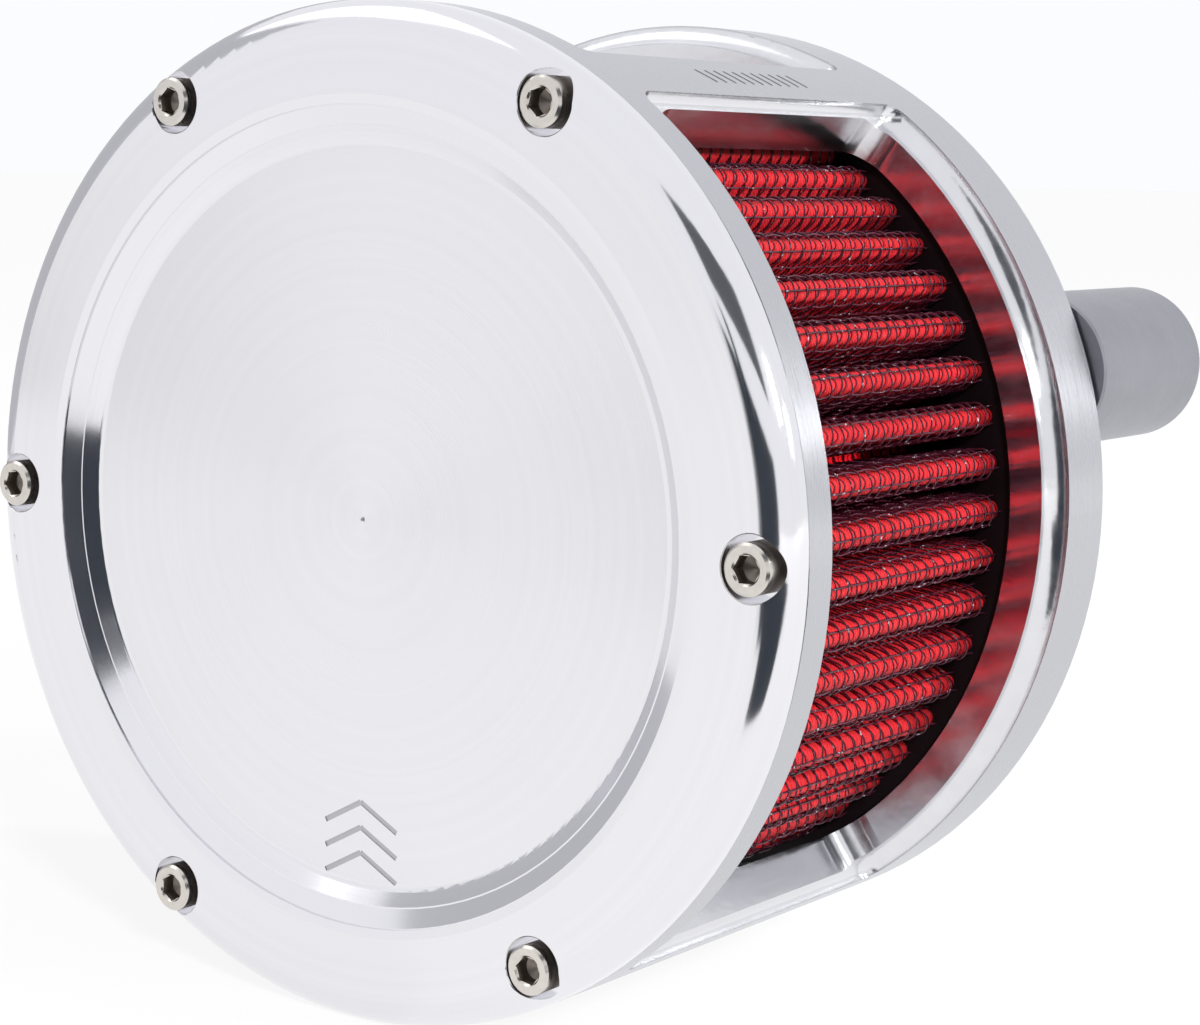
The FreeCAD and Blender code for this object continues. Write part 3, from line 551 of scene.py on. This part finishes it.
def cotton(name, first, last, material):
    """Pleats from one valley to another: puffed outside, smooth inside, closed at the ends."""
    outer, inner = Fold(MEDIA_OUTSIDE), Fold(MEDIA_INSIDE)
    cells = round((last - first) * WIRE_COUNT_ALONG / PLEAT_COUNT)
    columns = cells * CELL_STEPS + 1
    share = np.linspace(first - 0.5, last - 0.5, columns)
    rows = round((PLEAT_REAR - PLEAT_FRONT) / WIRE_PITCH) * CELL_STEPS + 1
    level = np.linspace(PLEAT_FRONT, PLEAT_REAR, rows)
    place, normal = outer.points(share * outer.length)
    wire_round = share * WIRE_COUNT_ALONG / PLEAT_COUNT
    puff_round = np.abs(np.sin(math.pi * wire_round))
    slip = stray(share, 1.0)
    points, flat = [], []

    def add_row(spot, y):
        points.append(np.stack([spot[:, 0], np.full(columns, y), spot[:, 1]], 1))
        flat.append(np.stack([share * outer.length, y - slip - PLEAT_FRONT], 1) / MM)

    for y in level:
        puff_along = np.abs(np.sin(math.pi * (y - slip - PLEAT_FRONT) / WIRE_PITCH))
        sunk = PILLOW_DEPTH * (1 - np.sqrt(puff_along * puff_round))[:, None]
        add_row(place - normal * sunk, y)
    back, _ = inner.points(share * inner.length)
    for y in (PLEAT_FRONT, PLEAT_REAR):
        add_row(back, y)
    faces = grid_faces(rows, columns)
    behind = rows * columns
    faces += grid_faces(2, columns, behind, flip=True)
    front_end = (0, behind, True)
    rear_end = ((rows - 1) * columns, behind + columns, False)
    for edge, inside, flip in (front_end, rear_end):
        for column in range(columns - 1):
            quad = [edge + column, edge + column + 1, inside + column + 1, inside + column]
            faces.append(quad[::-1] if flip else quad)
    for column, flip in ((0, False), (columns - 1, True)):
        side = [row * columns + column for row in range(rows)]
        side += [behind + columns + column, behind + column]
        faces.append(side[::-1] if flip else side)
    return build(name, np.concatenate(points), faces, material, "element", "pleated_media",
                 np.concatenate(flat))


def tube(centres, normals, sideways, closed):
    """Points and faces of one round wire along its centres."""
    count, sides = len(centres), WIRE_SIDES
    turn = np.arange(sides) * 2 * math.pi / sides
    ring = (np.cos(turn)[None, :, None] * normals[:, None, :]
            + np.sin(turn)[None, :, None] * sideways[:, None, :])
    points = (centres[:, None, :] + WIRE_R * ring).reshape(-1, 3)
    steps = np.arange(count if closed else count - 1)
    here, ahead = steps * sides, (steps + 1) % count * sides
    faces = []
    for side in range(sides):
        beside = (side + 1) % sides
        quads = np.stack([here + side, here + beside, ahead + beside, ahead + side], 1)
        faces.append(quads)
    faces = np.concatenate(faces)
    if not closed:
        end = (count - 1) * sides
        front_cap = np.arange(sides)[::-1]
        rear_cap = end + np.arange(sides)
        faces = np.concatenate([faces, [front_cap, rear_cap]])
    return points, faces


def wires(name, tubes, material):
    """Many tubes as one piece."""
    points, faces, start = [], [], 0
    for tube_points, tube_faces in tubes:
        points.append(tube_points)
        faces.append(tube_faces + start)
        start += len(tube_points)
    return build(name, np.concatenate(points), np.concatenate(faces).tolist(), material,
                 "element", "outer_mesh")


FOLD = Fold(WIRE_LEVEL)
ROUND = PLEAT_COUNT * FOLD.length
HOOP_COUNT = round((PLEAT_REAR - PLEAT_FRONT) / WIRE_PITCH) - 1


def bridged(way):
    """How far the wires stand off there: nothing at the crests, most on the flanks."""
    offset = np.abs(way - np.round(way / FOLD.length) * FOLD.length)
    share = np.clip(offset / (1.3 * FOLD.arc), 0.0, 1.0)
    deep = np.clip((offset - 0.7 * FOLD.length / 2) / (0.3 * FOLD.length / 2), 0.0, 1.0)
    return BRIDGE * share * share * (3 - 2 * share) * (1 - deep)


def hoop(index):
    """A wire that follows the zigzag all the way round, over and under the straight ones."""
    steps = []
    for pleat in range(PLEAT_COUNT):
        bow = np.linspace(-FOLD.arc, FOLD.arc, CREST_STEPS)
        straight = np.linspace(FOLD.arc, FOLD.length - FOLD.arc, FLANK_STEPS)[1:-1]
        steps.append(pleat * FOLD.length + np.concatenate([bow, straight]))
    way = np.concatenate(steps)
    place, normal = FOLD.points(way)
    crossing = way / ROUND * WIRE_COUNT_ALONG
    lift = WIRE_R * np.cos(math.pi * (crossing + index)) + bridged(way)
    y = PLEAT_FRONT + WIRE_PITCH * (index + 1) + stray(way, FOLD.length)
    spot = place + normal * lift[:, None]
    centres = np.stack([spot[:, 0], y, spot[:, 1]], 1)
    normals = np.stack([normal[:, 0], np.zeros(len(way)), normal[:, 1]], 1)
    ahead = np.roll(centres, -1, 0) - np.roll(centres, 1, 0)
    sideways = np.cross(normals, ahead)
    sideways /= np.linalg.norm(sideways, axis=1)[:, None]
    return tube(centres, normals, sideways, True)


def stay(index):
    """A wire that runs along Y, under and over the hoops."""
    way = np.array([index * ROUND / WIRE_COUNT_ALONG])
    place, normal = FOLD.points(way)
    slip = stray(way, FOLD.length)[0]
    y = np.linspace(PLEAT_FRONT - STAY_EXTRA, PLEAT_REAR + STAY_EXTRA, 2 * HOOP_COUNT + 3)
    crossing = (y - slip - PLEAT_FRONT) / WIRE_PITCH - 1
    lift = bridged(way)[0] - WIRE_R * np.cos(math.pi * (crossing + index))
    spot = place + normal * lift[:, None]
    centres = np.stack([spot[:, 0], y, spot[:, 1]], 1)
    normals = np.tile([normal[0, 0], 0.0, normal[0, 1]], (len(y), 1))
    sideways = np.cross(normals, [0.0, 1.0, 0.0])
    return tube(centres, normals, sideways, False)


COTTON = red_cotton()
SHARE = PLEAT_COUNT // COTTON_PIECES
for part in range(COTTON_PIECES):
    cotton(f"pleated_cotton_{part + 1}", part * SHARE, (part + 1) * SHARE, COTTON)

WIRE = dark_wire()
half_hoops = HOOP_COUNT // 2
wires("wire_hoops_front", [hoop(i) for i in range(half_hoops)], WIRE)
wires("wire_hoops_rear", [hoop(i) for i in range(half_hoops, HOOP_COUNT)], WIRE)
half_stays = WIRE_COUNT_ALONG // 2
wires("wire_stays_upper", [stay(i) for i in range(half_stays)], WIRE)
wires("wire_stays_lower", [stay(i) for i in range(half_stays, WIRE_COUNT_ALONG)], WIRE)


# ---------------------------------------------------------------- studio
def glow(name, color):
    """A surface that shines with that colour and takes no light."""
    material = bpy.data.materials.new(name)
    material.use_nodes = True
    tree = material.node_tree
    tree.nodes.clear()
    emission = tree.nodes.new("ShaderNodeEmission")
    emission.inputs["Color"].default_value = color
    output = tree.nodes.new("ShaderNodeOutputMaterial")
    tree.links.new(emission.outputs[0], output.inputs[0])
    return material


def card(name, corners, color):
    """A flat card that only shows in reflections, with its corners in millimetres."""
    mesh = bpy.data.meshes.new(name)
    mesh.from_pydata([Vector(c) * MM for c in corners], [], [list(range(len(corners)))])
    mesh.materials.append(glow(name, color))
    made = bpy.data.objects.new(name, mesh)
    bpy.context.scene.collection.objects.link(made)
    made.visible_camera = False
    made.visible_diffuse = False
    made.visible_shadow = False
    made.visible_transmission = False


def softbox(name, azimuth, elevation, distance, size, power, matt=True, gloss=True):
    """A square area light aimed at the middle of the filter.

    Not matt leaves it off the matt surfaces, and not gloss out of the reflections.
    """
    a, e = math.radians(azimuth), math.radians(elevation)
    away = Vector((math.sin(a) * math.cos(e), -math.cos(a) * math.cos(e), math.sin(e)))
    light = bpy.data.lights.new(name, "AREA")
    light.shape = "SQUARE"
    light.size = size
    light.energy = power
    made = bpy.data.objects.new(name, light)
    made.location = MIDDLE + away * distance
    made.rotation_mode = "QUATERNION"
    made.rotation_quaternion = away.to_track_quat("Z", "Y")
    made.visible_camera = False
    made.visible_diffuse = matt
    made.visible_glossy = gloss
    bpy.context.scene.collection.objects.link(made)


def floor():
    """A wide pale floor, as bright as the studio round it."""
    sides, reach = 96, 30.0
    turns = [2 * math.pi * side / sides for side in range(sides)]
    points = [(reach * math.cos(a), reach * math.sin(a), CAD_LOW.z) for a in turns]
    mesh = bpy.data.meshes.new("studio_floor")
    mesh.from_pydata(points, [], [list(range(sides))])
    net = Net("studio_paper", Roughness=0.9, Specular_IOR_Level=0.1,
              Emission_Color=rgba(1.0, 1.0, 1.0), Emission_Strength=0.88)
    fibre = net.noise(900.0, 4.0, 0.7)
    net.set("Base Color", net.blend(fibre, rgba(0.075, 0.075, 0.078), rgba(0.09, 0.09, 0.09)))
    mesh.materials.append(net.material)
    made = bpy.data.objects.new("studio_floor", mesh)
    bpy.context.scene.collection.objects.link(made)


MIDDLE = (CAD_LOW + CAD_HIGH) / 2
DARK_ROOM = rgba(0.045, 0.052, 0.065)
FLOOR_CARD_Z = -82             # just above the floor
floor()
card("lower_opening", [(-100, -578, -113), (52, -578, -160), (54, -578, -219),
                       (100, -578, -219), (560, -578, -320), (560, -578, 110),
                       (102, -578, 100), (100, -578, 153), (54, -578, 153), (52, -578, 95),
                       (-100, -578, 64)], DARK_ROOM)
card("upper_opening", [(111, -581, 212), (517, -276, 196), (429, -209, 376), (135, -479, 376)],
     rgba(0.12, 0.125, 0.14))
card("grey_wall", [(-1000, -921, -130), (-1000, 900, -130), (-1000, 900, 700),
                   (-1000, -921, 700)], rgba(0.55, 0.55, 0.58))
softbox("key_right_rear", 120, 10, 2.5, 0.22, 125.0, gloss=False)
softbox("top_right", 100, 42, 2.5, 0.5, 30.0, gloss=False)
softbox("front_right", 52, 24, 2.5, 0.3, 95.0, gloss=False)
FLOOR_OPENING = [(-100, -578), (-100, -519), (-20, -517), (-6, -431), (74, -406), (77, -272),
                 (157, -185), (560, -185), (560, -578)]
card("floor_opening", [(x, y, FLOOR_CARD_Z) for x, y in FLOOR_OPENING], DARK_ROOM)
softbox("streak_right_rear", 122, 14, 0.9, 0.1, 0.4, matt=False)
softbox("right", 92, 23, 0.9, 0.14, 1.2)
softbox("fill_top_left", -60, 50, 1.6, 0.9, 2.0)

world = bpy.data.worlds.new("studio")
bpy.context.scene.world = world
world.use_nodes = True
sky = world.node_tree.nodes["Background"]
sky.inputs["Color"].default_value = rgba(0.97, 0.975, 1.0)

# The sky lights matt surfaces less than it shows in polished ones
ray = world.node_tree.nodes.new("ShaderNodeLightPath")
dim = world.node_tree.nodes.new("ShaderNodeMapRange")
dim.inputs["To Min"].default_value = 1.0
dim.inputs["To Max"].default_value = 0.45
world.node_tree.links.new(ray.outputs["Is Diffuse Ray"], dim.inputs["Value"])
world.node_tree.links.new(dim.outputs["Result"], sky.inputs["Strength"])
bpy.context.scene.view_settings.view_transform = "Standard"

# Camera at the photograph's viewing angle
EYE = Vector((0.2858, -0.4405, 0.0566))
AIM = Vector((0.0412, -0.1030, 0.0040))
ROLL = math.radians(0.98)
LENS = 81.8

data = bpy.data.cameras.new("camera")
data.lens = LENS
data.sensor_width = 36.0
data.clip_start = 0.01
camera = bpy.data.objects.new("camera", data)
bpy.context.scene.collection.objects.link(camera)
forward = (AIM - EYE).normalized()
right = forward.cross(Vector((0, 0, 1))).normalized()
up = right.cross(forward)
axis_x = right * math.cos(ROLL) + up * math.sin(ROLL)
axis_y = up * math.cos(ROLL) - right * math.sin(ROLL)
turned = Matrix((axis_x, axis_y, -forward)).transposed().to_4x4()
camera.matrix_world = Matrix.Translation(EYE) @ turned
bpy.context.scene.camera = camera
